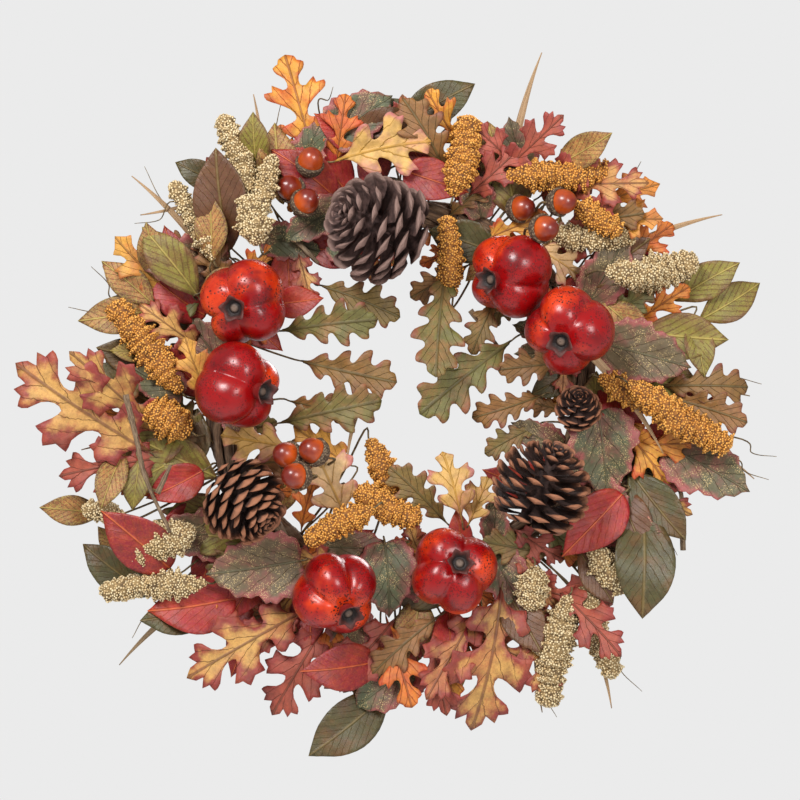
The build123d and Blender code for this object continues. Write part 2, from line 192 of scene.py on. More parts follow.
def spun(profile, axis_point, axis, sides=32, tone=0.5, warp=None):
    """A closed shape turned about an axis; the profile is (radius, height), from bottom to top."""
    axis = unit(axis)
    side = unit(np.cross(axis, (0.31, 0.95, 0.12)))
    up = np.cross(axis, side)
    points = [axis_point + axis * profile[0][1]]
    uv = [(0.5, 0.0)]
    for index, (radius, height) in enumerate(profile[1:-1]):
        for turn in range(sides):
            around = 2 * math.pi * turn / sides
            reach, rise = warp(radius, height, around) if warp else (radius, height)
            out = math.cos(around) * side + math.sin(around) * up
            points.append(axis_point + axis * rise + reach * out)
            uv.append((turn / sides, (index + 1) / len(profile)))
    points.append(axis_point + axis * profile[-1][1])
    uv.append((0.5, 1.0))
    rings = len(profile) - 2
    faces = [(0, 1 + (turn + 1) % sides, 1 + turn) for turn in range(sides)]
    for ring in range(rings - 1):
        faces += band(1 + ring * sides, 1 + (ring + 1) * sides, sides)
    last = 1 + (rings - 1) * sides
    top = len(points) - 1
    faces += [(last + turn, last + (turn + 1) % sides, top) for turn in range(sides)]
    return Shape(points, faces, np.array(uv), tone=tone)


def add_object(name, data):
    made = bpy.data.objects.new(name, data)
    bpy.context.scene.collection.objects.link(made)
    return made


def mesh_of(name, shapes, material, smooth=True):
    """One object from several shapes."""
    faces = []
    start = 0
    for shape in shapes:
        faces += [tuple(corner + start for corner in face) for face in shape.faces]
        start += len(shape.points)
    mesh = bpy.data.meshes.new(name)
    mesh.from_pydata(np.vstack([shape.points for shape in shapes]).tolist(), [], faces)
    corners = np.empty(len(mesh.loops), int)
    mesh.loops.foreach_get("vertex_index", corners)
    layer = mesh.uv_layers.new(name="surface")
    layer.data.foreach_set("uv", np.vstack([shape.uv for shape in shapes])[corners].ravel())
    for mark in ("edge", "tone"):
        values = np.concatenate([getattr(shape, mark) for shape in shapes])
        mesh.attributes.new(mark, "FLOAT", "POINT").data.foreach_set("value", values)
    if smooth:
        mesh.shade_smooth()
    mesh.materials.append(material)
    return add_object(name, mesh)


def thicken(piece, thickness, offset=-1.0):
    wall = piece.modifiers.new("thickness", "SOLIDIFY")
    wall.thickness = thickness
    wall.offset = offset


def finish_piece(piece, slot, *nodes, body="wreath"):
    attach(piece, body)
    if nodes:
        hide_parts(*nodes)


# ---------------------------------------------------------------- node trees


class Value:
    """A socket that takes part in sums; every sum adds its Math node."""

    def __init__(self, nodes, socket):
        self.nodes = nodes
        self.socket = socket

    def math(self, operation, *others):
        return self.nodes.node("ShaderNodeMath", {"operation": operation}, dict(enumerate((self, *others))))

    def __add__(self, other):
        return self.math("ADD", other)

    def __sub__(self, other):
        return self.math("SUBTRACT", other)

    def __mul__(self, other):
        return self.math("MULTIPLY", other)

    def __truediv__(self, other):
        return self.math("DIVIDE", other)

    def __rsub__(self, other):
        return self.nodes.node("ShaderNodeMath", {"operation": "SUBTRACT"}, {0: other, 1: self})

    __radd__ = __add__
    __rmul__ = __mul__

    def fade(self, start, end):
        """0 at start and 1 at end, smoothly."""
        values = {"Value": self, "From Min": start, "From Max": end}
        return self.nodes.node("ShaderNodeMapRange", {"interpolation_type": "SMOOTHSTEP"}, values)

    def other(self, output):
        """Another output of the same node."""
        return Value(self.nodes, self.socket.node.outputs[output])


class Nodes:
    """A node tree that grows by one node a call."""

    def plug(self, socket, value):
        if isinstance(value, list):
            for each in value:
                self.plug(socket, each)
        elif isinstance(value, Value):
            self.tree.links.new(value.socket, socket)
        else:
            socket.default_value = value

    def node(self, kind, settings={}, values={}, output=0):
        made = self.tree.nodes.new(kind)
        for setting, choice in settings.items():
            setattr(made, setting, choice)
        for socket, value in values.items():
            self.plug(made.inputs[socket], value)
        return Value(self, made.outputs[output])

    def vector(self, x=0.0, y=0.0, z=0.0):
        return self.node("ShaderNodeCombineXYZ", {}, {0: x, 1: y, 2: z})


class Finish(Nodes):
    """A material and its nodes."""

    def __init__(self, name, roughness=0.5, **constants):
        self.material = bpy.data.materials.new(name)
        self.material.use_nodes = True
        self.tree = self.material.node_tree
        self.shader = self.tree.nodes["Principled BSDF"]
        self.set("Roughness", roughness)
        for socket, value in constants.items():
            self.set(socket.replace("_", " ").title().replace("Ior", "IOR"), value)

    def set(self, socket, value):
        self.plug(self.shader.inputs[socket], value)

    def place(self):
        return self.node("ShaderNodeTexCoord", output="Object")

    def mark(self, name):
        return self.node("ShaderNodeAttribute", {"attribute_name": name}, output="Fac")

    def surface(self):
        """U and V of the piece."""
        uv = self.node("ShaderNodeUVMap", {"uv_map": "surface"})
        split = self.node("ShaderNodeSeparateXYZ", {}, {0: uv})
        return split, split.other(1)

    def noise(self, scale, detail=3.0, at=None, rough=0.55):
        values = {"Vector": at or self.place(), "Scale": scale, "Detail": detail, "Roughness": rough}
        return self.node("ShaderNodeTexNoise", {}, values)

    def cells(self, scale, feature="F1"):
        values = {"Vector": self.place(), "Scale": scale}
        return self.node("ShaderNodeTexVoronoi", {"feature": feature}, values)

    def blend(self, amount, first, second):
        return self.node("ShaderNodeMix", {"data_type": "RGBA"}, {0: amount, 6: first, 7: second}, 2)

    def done(self, colour, height, depth):
        """The material, with its colour and its relief."""
        self.set("Base Color", colour)
        bump = {"Height": height, "Distance": depth, "Strength": 1.0}
        self.set("Normal", self.node("ShaderNodeBump", {}, bump))
        return self.material


class Growth(Nodes):
    """A Geometry Nodes tree with named inputs."""

    def __init__(self, name, **inputs):
        self.tree = bpy.data.node_groups.new(name, "GeometryNodeTree")
        sockets = self.tree.interface
        sockets.new_socket("Geometry", in_out="INPUT", socket_type="NodeSocketGeometry")
        self.identifiers = {
            label: sockets.new_socket(label, in_out="INPUT", socket_type="NodeSocket" + kind).identifier
            for label, kind in inputs.items()}
        sockets.new_socket("Geometry", in_out="OUTPUT", socket_type="NodeSocketGeometry")
        self.entry = self.tree.nodes.new("NodeGroupInput")
        self.exit = self.tree.nodes.new("NodeGroupOutput")

    def given(self, label):
        return Value(self, self.entry.outputs[label])

    def random(self, low, high, seed=0):
        values = {2: low, 3: high, "Seed": seed}
        return self.node("FunctionNodeRandomValue", {"data_type": "FLOAT"}, values, 1)

    def placed(self, spots, copied, turn, size, material):
        """Real, painted copies of a shape, one at each spot."""
        copies = self.node("GeometryNodeInstanceOnPoints", {}, {
            "Points": spots, "Instance": copied, "Rotation": turn, "Scale": size})
        return self.painted(self.node("GeometryNodeRealizeInstances", {}, {0: copies}), material)

    def painted(self, geometry, material):
        return self.node("GeometryNodeSetMaterial", {}, {"Geometry": geometry, "Material": material})

    def grown(self, name, carrier, values):
        """An object of the carrier's mesh after the tree; the carrier goes."""
        modifier = carrier.modifiers.new("grow", "NODES")
        modifier.node_group = self.tree
        for label, value in values.items():
            modifier[self.identifiers[label]] = value
        bpy.context.view_layer.update()
        evaluated = carrier.evaluated_get(bpy.context.evaluated_depsgraph_get())
        mesh = bpy.data.meshes.new_from_object(evaluated)
        carrier.modifiers.remove(modifier)
        bpy.data.objects.remove(carrier)
        return add_object(name, mesh)


def paint(red, green, blue):
    """A colour from its everyday 0 to 255 values."""
    scaled = [channel / 255 for channel in (red, green, blue)]
    return (*(c / 12.92 if c <= 0.04045 else ((c + 0.055) / 1.055) ** 2.4 for c in scaled), 1.0)


# ---------------------------------------------------------------- materials


def leaf_finish(name, heart, other_heart, rim, vein, streak, *, rim_reach=0.5, vein_width=0.05, veins=7.0,
                streaks=0.5, speckle=None, net=0.0, roughness=0.55):
    """Printed cloth: a heart and a rim colour, a midrib, side veins, streaks and speckles."""
    finish = Finish(name, roughness)
    along, across = finish.surface()
    side = (across - 0.5).math("ABSOLUTE")
    edge = finish.mark("edge")
    tone = finish.mark("tone")
    soft = finish.noise(90.0, 4.0)
    fine = finish.noise(420.0, 3.0)
    base = finish.blend(tone.fade(0.25, 0.75), heart, other_heart)
    outer = side * 1.5 + (0.5 - edge) * 0.6 + (soft - 0.5) * 1.0 + (along - 0.6).math("ABSOLUTE") * 0.35
    near_rim = outer.fade(0.72 - 0.5 * rim_reach, 1.08 - 0.5 * rim_reach)
    colour = finish.blend(near_rim, base, rim)
    blotch = finish.noise(46.0, 4.0, rough=0.65).fade(0.44, 0.66)
    colour = finish.blend(blotch * 0.6, colour, finish.blend(0.5, streak, rim))
    grain = finish.noise(700.0, 4.0, rough=0.7)
    colour = finish.blend(grain.fade(0.42, 0.7) * 0.3, colour, vein)
    phase = (along - side * 1.6) * veins + 0.7 * soft + 0.12 * fine
    ray = (phase.math("FRACT") - 0.5).math("ABSOLUTE")
    side_vein = ray.fade(vein_width * 1.4, 0.0) * side.fade(0.45, 0.02)
    midrib = side.fade(0.016 + 0.12 * vein_width, 0.004)
    drift = (ray.fade(0.5, 0.0) * 0.55 + fine * 0.75) * streaks
    colour = finish.blend(drift.fade(0.42, 0.85), colour, streak)
    if speckle:
        dots = finish.cells(900.0).fade(0.42, 0.2) * finish.noise(130.0).fade(0.42, 0.6)
        colour = finish.blend(dots, colour, speckle)
    if net:
        mesh_lines = finish.cells(330.0, "DISTANCE_TO_EDGE").fade(0.09, 0.0)
        colour = finish.blend(mesh_lines * net * tone.fade(0.3, 0.55), colour, vein)
    veined = midrib.math("MAXIMUM", side_vein)
    colour = finish.blend(veined * 0.7, colour, vein)
    shade = finish.noise(120.0, 3.0).fade(0.35, 0.75)
    colour = finish.blend(0.34 * shade + 0.06, colour, paint(56, 34, 22))
    finish.set("Roughness", roughness + (fine - 0.5) * 0.2)
    weave = finish.noise(2600.0, 1.0)
    return finish.done(colour, veined * 1.0 + soft * 1.1 + grain * 0.3 + weave * 0.12, 0.0007)


def bark_finish(name, light, dark, scale=1.0):
    """Dry bark with lengthwise furrows."""
    finish = Finish(name, 0.85)
    along, around = finish.surface()
    grain = finish.vector(along * 40.0 * scale, around * 9.0, finish.mark("tone") * 7.0)
    furrow = finish.noise(1.6, 6.0, grain, 0.7)
    patch = finish.noise(60.0 * scale, 3.0)
    colour = finish.blend(furrow.fade(0.35, 0.65), dark, light)
    colour = finish.blend(patch.fade(0.5, 0.75) * 0.5, colour, paint(170, 150, 125))
    return finish.done(colour, furrow + patch * 0.3, 0.0012)


def fruit_finish():
    """Glossy lacquered red with orange patches and black specks."""
    finish = Finish("pomegranate_skin", 0.34, coat_roughness=0.2, specular_ior_level=0.36)
    patch = finish.noise(24.0, 5.0)
    warm = patch.fade(0.47, 0.66)
    colour = finish.blend(warm, paint(146, 4, 7), paint(210, 58, 12))
    deep = finish.noise(32.0, 3.0)
    colour = finish.blend(deep.fade(0.50, 0.72) * 0.8, colour, paint(88, 2, 7))
    where = 0.5 + warm * 0.5
    specks = finish.cells(400.0).fade(0.42, 0.26) * where * finish.noise(110.0).fade(0.46, 0.54)
    colour = finish.blend(specks, colour, paint(30, 6, 6))
    dust = finish.cells(820.0).fade(0.46, 0.26) * finish.noise(60.0, 2.0).fade(0.44, 0.58)
    colour = finish.blend(dust * 0.8, colour, paint(58, 5, 5))
    finish.set("Roughness", 0.26 + 0.4 * specks + 0.1 * patch)
    finish.set("Coat Weight", 0.2 - 0.2 * specks)
    return finish.done(colour, finish.noise(110.0, 2.0) * 0.7 + specks * -0.3, 0.0006)


def cone_finish(name, body, tip, dust):
    """Woody scales with paler lips."""
    finish = Finish(name, 0.75)
    along, _ = finish.surface()
    grain = finish.noise(220.0, 5.0)
    lip = (along + (grain - 0.5) * 0.2).fade(0.78, 0.98)
    colour = finish.blend(grain.fade(0.3, 0.7), body, tuple(0.35 * c for c in body[:3]) + (1.0,))
    colour = finish.blend(lip * 0.85, colour, tip)
    colour = finish.blend(finish.noise(70.0, 3.0).fade(0.5, 0.75) * 0.55, colour, dust)
    return finish.done(colour, grain + finish.noise(900.0, 2.0) * 0.4, 0.0008)


def nut_finish():
    """Polished acorn: amber to maroon."""
    finish = Finish("acorn_shell", 0.3, coat_weight=0.3, coat_roughness=0.16)
    _, height = finish.surface()
    patch = finish.noise(55.0, 3.0)
    dark = (height + (patch - 0.5) * 0.9).fade(0.35, 0.85)
    colour = finish.blend(dark, paint(198, 82, 20), paint(112, 28, 14))
    finish.set("Roughness", 0.26 + 0.15 * patch)
    colour = finish.blend(finish.noise(240.0, 4.0).fade(0.55, 0.8) * 0.5, colour, paint(75, 20, 10))
    return finish.done(colour, patch, 0.0004)


def seed_finish(name, light, mid, dark):
    """Beads: each a little lighter or darker than the next."""
    finish = Finish(name, 0.5)
    bead = finish.noise(360.0, 1.0)
    sweep = finish.noise(45.0, 2.0)
    colour = finish.blend(bead.fade(0.38, 0.62), mid, light)
    colour = finish.blend(sweep.fade(0.5, 0.8) * 0.4, colour, dark)
    finish.set("Roughness", 0.42 + 0.2 * bead)
    return finish.done(colour, finish.noise(1800.0, 2.0), 0.0002)


def plain_finish(name, light, dark, roughness, grain=240.0, depth=0.0003, metallic=0.0):
    """Two close colours over a fine grain, for wires, stems and husks."""
    finish = Finish(name, roughness, metallic=metallic)
    fleck = finish.noise(grain, 4.0)
    finish.set("Roughness", roughness + (fleck - 0.5) * 0.3)
    return finish.done(finish.blend(fleck.fade(0.35, 0.65), dark, light), fleck, depth)


def husk_finish():
    """Dried crown: dark red outside, painted shade (nearly black) in the hollow and a paler heart."""
    finish = Finish("dried_husk", 0.6)
    _, height = finish.surface()
    fleck = finish.noise(320.0, 4.0)
    colour = finish.blend(height.fade(0.3, 0.5), paint(120, 16, 12), paint(78, 30, 22))
    # Painted shade: the inner wall and floor of the hollow are painted nearly black.
    colour = finish.blend(height.fade(0.52, 0.6), colour, paint(28, 14, 10))
    colour = finish.blend(height.fade(0.74, 0.86), colour, paint(112, 92, 78))
    return finish.done(finish.blend(fleck.fade(0.5, 0.75) * 0.6, colour, paint(30, 14, 10)), fleck, 0.0008)


def scaly_finish():
    """Acorn cap: small overlapping scales."""
    finish = Finish("acorn_cap_scales", 0.8)
    scales = finish.cells(520.0)
    colour = finish.blend(scales.fade(0.1, 0.6), paint(150, 128, 100), paint(72, 55, 40))
    colour = finish.blend(finish.noise(90.0).fade(0.5, 0.7) * 0.5, colour, paint(105, 70, 55))
    return finish.done(colour, 1.0 - scales, 0.0009)


def blade_finish():
    """Dry grass with long fibres."""
    finish = Finish("dry_grass", 0.65)
    along, across = finish.surface()
    tone = finish.mark("tone")
    fibre = finish.vector(along * 2.0, across * 30.0, tone * 5.0)
    streak = finish.noise(1.4, 4.0, fibre)
    colour = finish.blend(streak.fade(0.35, 0.65), paint(150, 112, 78), paint(205, 172, 130))
    colour = finish.blend(tone.fade(0.5, 1.0) * 0.6, colour, paint(110, 95, 70))
    return finish.done(colour, streak, 0.0005)


# Each kind of leaf: its heart, second heart, rim, vein and streak colours, and what its print is like
LEAF_PRINTS = {
    "orange_oak": (
        ((224, 156, 52), (216, 122, 40), (198, 84, 38), (128, 66, 34), (200, 66, 32)),
        dict(rim_reach=0.6, vein_width=0.035, veins=6.0, streaks=0.6)),
    "russet_oak": (
        ((216, 164, 88), (172, 80, 60), (150, 56, 48), (104, 56, 38), (190, 104, 62)),
        dict(rim_reach=0.95, vein_width=0.03, veins=5.5, streaks=0.45)),
    "yellow_maple": (
        ((220, 160, 66), (222, 138, 40), (186, 106, 54), (140, 92, 40), (206, 96, 34)),
        dict(vein_width=0.03, veins=6.0, streaks=0.5)),
    "pale_oak": (
        ((224, 184, 132), (222, 176, 100), (190, 112, 108), (190, 138, 36), (214, 150, 120)),
        dict(rim_reach=0.55, vein_width=0.06, veins=4.5, streaks=0.4)),
    "green_oak": (
        ((112, 108, 52), (142, 98, 48), (140, 76, 58), (88, 80, 42), (168, 122, 62)),
        dict(rim_reach=0.62, vein_width=0.04, veins=8.0, streaks=0.5)),
    "magnolia": (
        ((76, 74, 40), (104, 64, 42), (62, 58, 36), (124, 104, 58), (148, 86, 40)),
        dict(rim_reach=0.3, vein_width=0.03, veins=9.0, streaks=0.5, roughness=0.42)),
    "red": (
        ((160, 22, 32), (134, 18, 34), (118, 16, 30), (216, 106, 52), (214, 84, 34)),
        dict(rim_reach=0.35, vein_width=0.02, veins=7.0, streaks=0.56, roughness=0.45)),
    "olive": (
        ((136, 126, 48), (172, 112, 62), (116, 80, 46), (186, 164, 84), (120, 70, 44)),
        dict(rim_reach=0.8, vein_width=0.025, veins=8.0, streaks=0.66, net=0.7, speckle=paint(100, 62, 44))),
    "grape": (
        ((86, 92, 62), (104, 88, 60), (166, 84, 82), (84, 84, 56), (142, 78, 70)),
        dict(rim_reach=0.66, vein_width=0.03, veins=5.0, streaks=0.5, speckle=paint(214, 186, 128))),
}
FINISHES = {
    kind: leaf_finish(kind + "_cloth", *(paint(*colour) for colour in colours), **print_)
    for kind, (colours, print_) in LEAF_PRINTS.items()}
BARK = bark_finish("vine_bark", paint(128, 98, 72), paint(58, 40, 28))
TWIG_BARK = bark_finish("twig_bark", paint(150, 126, 98), paint(84, 64, 48), 2.0)
SKIN = fruit_finish()
HUSK = husk_finish()
NUT = nut_finish()
CAP = scaly_finish()
GRASS = blade_finish()
STEM = plain_finish("wrapped_stem", paint(126, 104, 66), paint(70, 58, 36), 0.7, 400.0, 0.0004)
PICK = plain_finish("pick_wire_wrap", paint(74, 66, 48), paint(44, 40, 30), 0.6)
FRAME_WIRE = plain_finish(
    "enamelled_frame_wire", paint(76, 88, 58), paint(48, 58, 38), 0.4, 120.0, 0.0001, 0.3)
BINDING = plain_finish("binding_wire_brown", paint(104, 84, 62), paint(62, 46, 34), 0.45, 200.0, 0.0001, 0.5)
HANGER = plain_finish("green_florist_wire", paint(70, 96, 62), paint(44, 62, 40), 0.38, 160.0, 0.0001, 0.3)
CREAM_CORE = plain_finish("cream_seed_core", paint(150, 124, 82), paint(92, 70, 42), 0.8)
GOLD_CORE = plain_finish("gold_seed_core", paint(158, 100, 38), paint(96, 56, 20), 0.8)
CREAM = seed_finish("cream_beads", paint(232, 214, 172), paint(204, 174, 124), paint(168, 132, 84))
GOLD = seed_finish("gold_beads", paint(232, 172, 82), paint(212, 144, 54), paint(168, 100, 34))

# ---------------------------------------------------------------- leaves

# Half outlines, from the stalk to the tip: along the midrib and out to the side, in thousandths of the length
HALF_OUTLINES = {
    "orange_oak": [
        (0, 10), (120, 20), (200, 70), (270, 190), (330, 250), (370, 215), (390, 100), (430, 65), (500, 110),
        (570, 235), (620, 330), (680, 340), (680, 250), (740, 235), (680, 130), (700, 70), (780, 80),
        (840, 150), (900, 175), (930, 110), (970, 90), (1000, 0),
    ],
    "russet_oak": [
        (0, 12), (80, 30), (140, 120), (130, 215), (200, 225), (250, 270), (300, 215), (300, 110), (340, 75),
        (410, 120), (450, 235), (440, 330), (520, 320), (580, 385), (620, 310), (680, 290), (620, 170),
        (600, 90), (660, 70), (730, 120), (780, 215), (840, 250), (860, 175), (920, 165), (880, 80),
        (940, 70), (1000, 0),
    ],
    "yellow_maple": [
        (0, 12), (120, 40), (140, 180), (220, 240), (300, 230), (330, 130), (400, 120), (500, 250),
        (550, 350), (620, 300), (680, 330), (660, 190), (660, 100), (760, 120), (840, 190), (880, 120),
        (1000, 0),
    ],
    "pale_oak": [
        (0, 12), (140, 30), (220, 100), (300, 230), (380, 285), (440, 250), (430, 130), (470, 100),
        (560, 170), (600, 310), (680, 360), (740, 300), (800, 300), (740, 160), (760, 90), (860, 110),
        (930, 140), (960, 70), (1000, 0),
    ],
    "green_oak": [
        (0, 10), (100, 30), (180, 105), (250, 135), (280, 80), (340, 90), (410, 185), (480, 205), (490, 115),
        (540, 105), (610, 225), (690, 255), (700, 140), (750, 120), (820, 190), (890, 190), (900, 100),
        (960, 80), (1000, 0),
    ],
    "magnolia": [
        (0, 10), (100, 100), (300, 225), (520, 255), (740, 190), (900, 80), (1000, 0),
    ],
    "red": [
        (0, 20), (30, 130), (140, 250), (340, 325), (560, 290), (780, 165), (930, 45), (1000, 0),
    ],
    "olive": [
        (0, 10), (100, 85), (280, 210), (500, 255), (720, 190), (900, 70), (1000, 0),
    ],
    "grape": [
        (0, 15), (-30, 120), (0, 260), (80, 300), (140, 380), (220, 360), (300, 420), (370, 385), (420, 400),
        (480, 300), (560, 320), (640, 285), (720, 290), (780, 190), (870, 150), (920, 60), (1000, 0),
    ],
}
POINTED = {"russet_oak", "orange_oak", "yellow_maple", "grape"}


def leaf_blank(kind, spacing=0.04):
    """A flat leaf of length 1: points, faces and each point's distance from the rim."""
    half = smooth_path(np.array(HALF_OUTLINES[kind]) / 1000, 2 if kind in POINTED else 3)
    outline = np.vstack((half, half[-2:0:-1] * (1, -1)))
    following = np.roll(outline, -1, 0)
    columns = np.arange(outline[:, 0].min(), 1, spacing)
    rows = np.arange(-0.5, 0.5, spacing * 0.87)
    grid = np.array([(x + (row % 2) * spacing / 2, y) for row, y in enumerate(rows) for x in columns])

    def rim_distance(points):
        span = following - outline
        offset = points[:, None] - outline[None]
        share = np.clip((offset * span).sum(2) / (span**2).sum(1), 0, 1)
        return np.linalg.norm(offset - share[..., None] * span, axis=2).min(1)

    crossing = (outline[:, 1] > grid[:, 1:]) != (following[:, 1] > grid[:, 1:])
    rise = np.where(following[:, 1] == outline[:, 1], 1e-9, following[:, 1] - outline[:, 1])
    cut = outline[:, 0] + (grid[:, 1:] - outline[:, 1]) * (following[:, 0] - outline[:, 0]) / rise
    inside = (crossing & (grid[:, :1] < cut)).sum(1) % 2 == 1
    grid = grid[inside]
    grid = grid[rim_distance(grid) > 0.45 * spacing]
    count = len(outline)
    rim = [(corner, (corner + 1) % count) for corner in range(count)]
    points = [Vector(point) for point in np.vstack((outline, grid))]
    found, _, faces, *_ = delaunay_2d_cdt(points, rim, [], 1, 1e-6)
    flat = np.array([tuple(point) for point in found])
    turned = []
    for face in faces:
        a, b, c = flat[list(face)]
        wound = (b[0] - a[0]) * (c[1] - a[1]) - (b[1] - a[1]) * (c[0] - a[0])
        turned.append(tuple(face) if wound > 0 else tuple(reversed(face)))
    return flat, turned, rim_distance(flat)


BLANKS = {kind: leaf_blank(kind) for kind in HALF_OUTLINES}


def shaped_leaf(kind, base, direction, length, width, chance, tone, tilt):
    """A leaf with a folded midrib, a curl and a wavy rim."""
    flat, faces, rim = BLANKS[kind]
    full_width = 2 * flat[:, 1].max()
    spread = width / (full_width * length)
    spread = min(1.15, max(0.8, spread)) * chance.uniform(0.92, 1.05)
    u = flat[:, 0]
    flip = chance.choice((-1, 1))
    v = flat[:, 1] * spread * flip
    out = np.abs(v)
    fold = chance.uniform(0.12, 0.42)
    bow = chance.uniform(0.02, 0.13)
    droop = chance.uniform(-0.05, 0.20)
    wave = chance.uniform(0.010, 0.028)
    twist = chance.uniform(-0.25, 0.25)
    phase = chance.uniform(0, 6.28)
    lift = fold * out * (1 - 0.6 * u) + bow * np.sin(math.pi * np.clip(u, 0, 1)) - droop * u**2
    lift += wave * np.sin(9 * u + phase + 2.5 * np.sign(v)) * np.clip(out / 0.12, 0, 1)
    lift += 0.006 * np.cos((u - 1.6 * out) * 2 * math.pi * 7) * np.clip(out / 0.05, 0, 1) + twist * u * v
    lift += tilt * u
    side_bend = chance.uniform(-0.10, 0.10)
    v = v + side_bend * u**2
    across = np.cross(FRONT, direction)
    points = base + length * (np.outer(u, direction) + np.outer(v, across) + np.outer(lift, FRONT))
    uv = np.column_stack((u, 0.5 + flat[:, 1]))
    wound = [tuple(reversed(face)) for face in faces] if flip < 0 else faces
    return Shape(points, wound, uv, np.clip(rim / 0.16, 0, 1), tone)


DRESSED_BAND = 45 * MM  # half the width of the ring that fruit and cones cover
DEPTH_SPREAD = 2.1
LOWEST_LEAF = 18 * MM
LARGE_LEAF = 88 * MM


def ring_offset(point):
    """How far out from the ring's middle line a point is."""
    return math.hypot(point[0] - ring_centre[0], point[2] - ring_centre[2]) - ring_radius


def settle(base):
    """Spreads the foliage in depth, falling back at both rims."""
    raised = leaf_back + (-base[1] - leaf_back) * DEPTH_SPREAD
    back = 0.16 * max(0.0, abs(ring_offset(base)) - DRESSED_BAND)
    return np.array((base[0], -max(LOWEST_LEAF, raised - back), base[2]))


def standing(base, direction, length, chance):
    """How steeply a leaf stands out: more where its tip is clear of the fruit and cones."""
    clear = abs(ring_offset(base + direction * length)) - DRESSED_BAND
    share = min(1.0, max(0.0, clear / DRESSED_BAND))
    return share * chance.uniform(0.05, 0.62) + (1 - share) * chance.uniform(-0.05, 0.1)


def held_at(point, chance, spread=8 * MM):
    """The point of the vine bundle that is nearest to a piece."""
    outwards = unit((point[0] - ring_centre[0], 0, point[2] - ring_centre[2]))
    offset = max(-spread, min(spread, ring_offset(point))) + chance.uniform(-2, 2) * MM
    return ring_centre + outwards * (ring_radius + offset)


def stem_to(point, direction, chance, radius=0.8 * MM, tone=0.5):
    """A wrapped stem that leaves a piece along its midrib and bends into the vines."""
    held = held_at(point, chance)
    reach = np.linalg.norm(held - point)
    leaving = point - direction * min(0.16 * reach, 8 * MM) - FRONT * 4 * MM
    middle = (leaving + held) / 2 + np.array((chance.uniform(-4, 4), 0, chance.uniform(-4, 4))) * MM
    middle[1] = -(leaf_back - chance.uniform(4, 12) * MM)
    path = smooth_path([point + direction * 4 * MM, point, leaving, middle, held], 4)
    return tube(path, np.linspace(0.75, 1.25, len(path)) * radius, 6, tone=tone)


SLOTS = {"red": "red_leaf", "olive": "olive_leaf", "grape": "grape_leaf"}


def cloth_piece(name, kind, leaves, *nodes):
    """One kind of leaves, cut from cloth."""
    piece = mesh_of(name, leaves, FINISHES[kind])
    thicken(piece, 0.5 * MM, 0.0)
    finish_piece(piece, SLOTS.get(kind, kind), *nodes)


chance = random.Random(11)
stem_shapes = []
for node in sorted(node for node in NODES if "_leaves" in node):
    kind = node.split("_leaves")[0]
    leaves = []
    for solid in islands(node):
        base, direction, length, width = blade_place(solid)
        base = settle(base)
        tone = chance.random() * (0.3 if length > LARGE_LEAF else 1.0)
        tilt = standing(base, direction, length, chance)
        leaves.append(shaped_leaf(kind, base, direction, length, width, chance, tone, tilt))
        stem_shapes.append(stem_to(base, direction, chance, tone=tone))
    cloth_piece(node + "_cloth", kind, leaves, node)

# Small leaves that fill the back of the wreath between the large ones
FILL_KINDS = ("russet_oak", "green_oak", "olive", "magnolia", "red", "grape", "orange_oak")
fill = {kind: [] for kind in FILL_KINDS}
# Each row: how many, middle offset, spread, heading's spread, shortest and longest
fill_rows = (
    (54, 4, 34, 3.1, 46, 64), (50, 24, 22, 0.9, 52, 76),
    (40, 46, 20, 1.0, 44, 62), (30, -10, 10, 0.8, 34, 48),
)
for row, (count, offset, spread, fan, shortest, longest) in enumerate(fill_rows):
    for index in range(count):
        angle = 2 * math.pi * (index + 0.5 * (row % 2)) / count + chance.uniform(-0.06, 0.06)
        reach = ring_radius + (offset + chance.uniform(-0.5, 0.5) * spread) * MM
        base = ring_centre + on_circle(angle) * reach
        base[1] = -(leaf_back - chance.uniform(0, 9) * MM)
        turn = chance.uniform(-fan, fan) + (math.pi if offset < 0 else 0)
        direction = on_circle(angle + turn)
        kind = chance.choice(FILL_KINDS)
        length = chance.uniform(shortest, longest) * MM
        tilt = 0.1 + 0.8 * standing(base, direction, length, chance)
        tone = chance.random()
        fill[kind].append(shaped_leaf(kind, base, direction, length, 0.55 * length, chance, tone, tilt))
        if offset > 30:
            stem_shapes.append(stem_to(base, direction, chance))
for kind, leaves in fill.items():
    cloth_piece("fill_" + kind, kind, leaves)

finish_piece(mesh_of("foliage_stems", stem_shapes, STEM), "stem", "leaf_stems_left", "leaf_stems_right")

# ---------------------------------------------------------------- grass


def grass_blade(base, direction, length, width, chance, tone):
    """A dry blade: flat, keeled, bent to one side and drawn out to a thread."""
    bend = chance.choice((-1, 1)) * chance.uniform(0.08, 0.2)
    lift = chance.uniform(0.02, 0.16)
    across = np.cross(FRONT, direction)
    points, faces, uv = [], [], []
    steps = 18
    for step in range(steps + 1):
        t = step / steps
        raised = lift * t * (1 - 0.6 * t)
        middle = base + length * (t * direction + bend * t**2 * across + raised * FRONT)
        half = 0.62 * width * (0.6 + 1.2 * t) * (1 - t) ** 1.25 + 0.3 * MM
        for side, keel in ((-1, 0.35), (0, 0.0), (1, 0.35)):
            points.append(middle + side * half * across + keel * half * FRONT)
            uv.append((t, 0.5 + 0.5 * side))
    for step in range(steps):
        for strip in range(2):
            here = step * 3 + strip
            faces.append((here, here + 3, here + 4, here + 1))
    return Shape(points, faces, np.array(uv), tone=tone)


ROOT = 12 * MM
for node in sorted(node for node in NODES if node.startswith("grass")):
    blades = []
    for solid in islands(node):
        base, direction, length, width = blade_place(solid)
        base = settle(base)
        tone = chance.random()
        blades.append(grass_blade(base - direction * ROOT, direction, length + ROOT, width, chance, tone))
    piece = mesh_of(node + "_dry", blades, GRASS)
    thicken(piece, 0.4 * MM)
    finish_piece(piece, "grass", node)

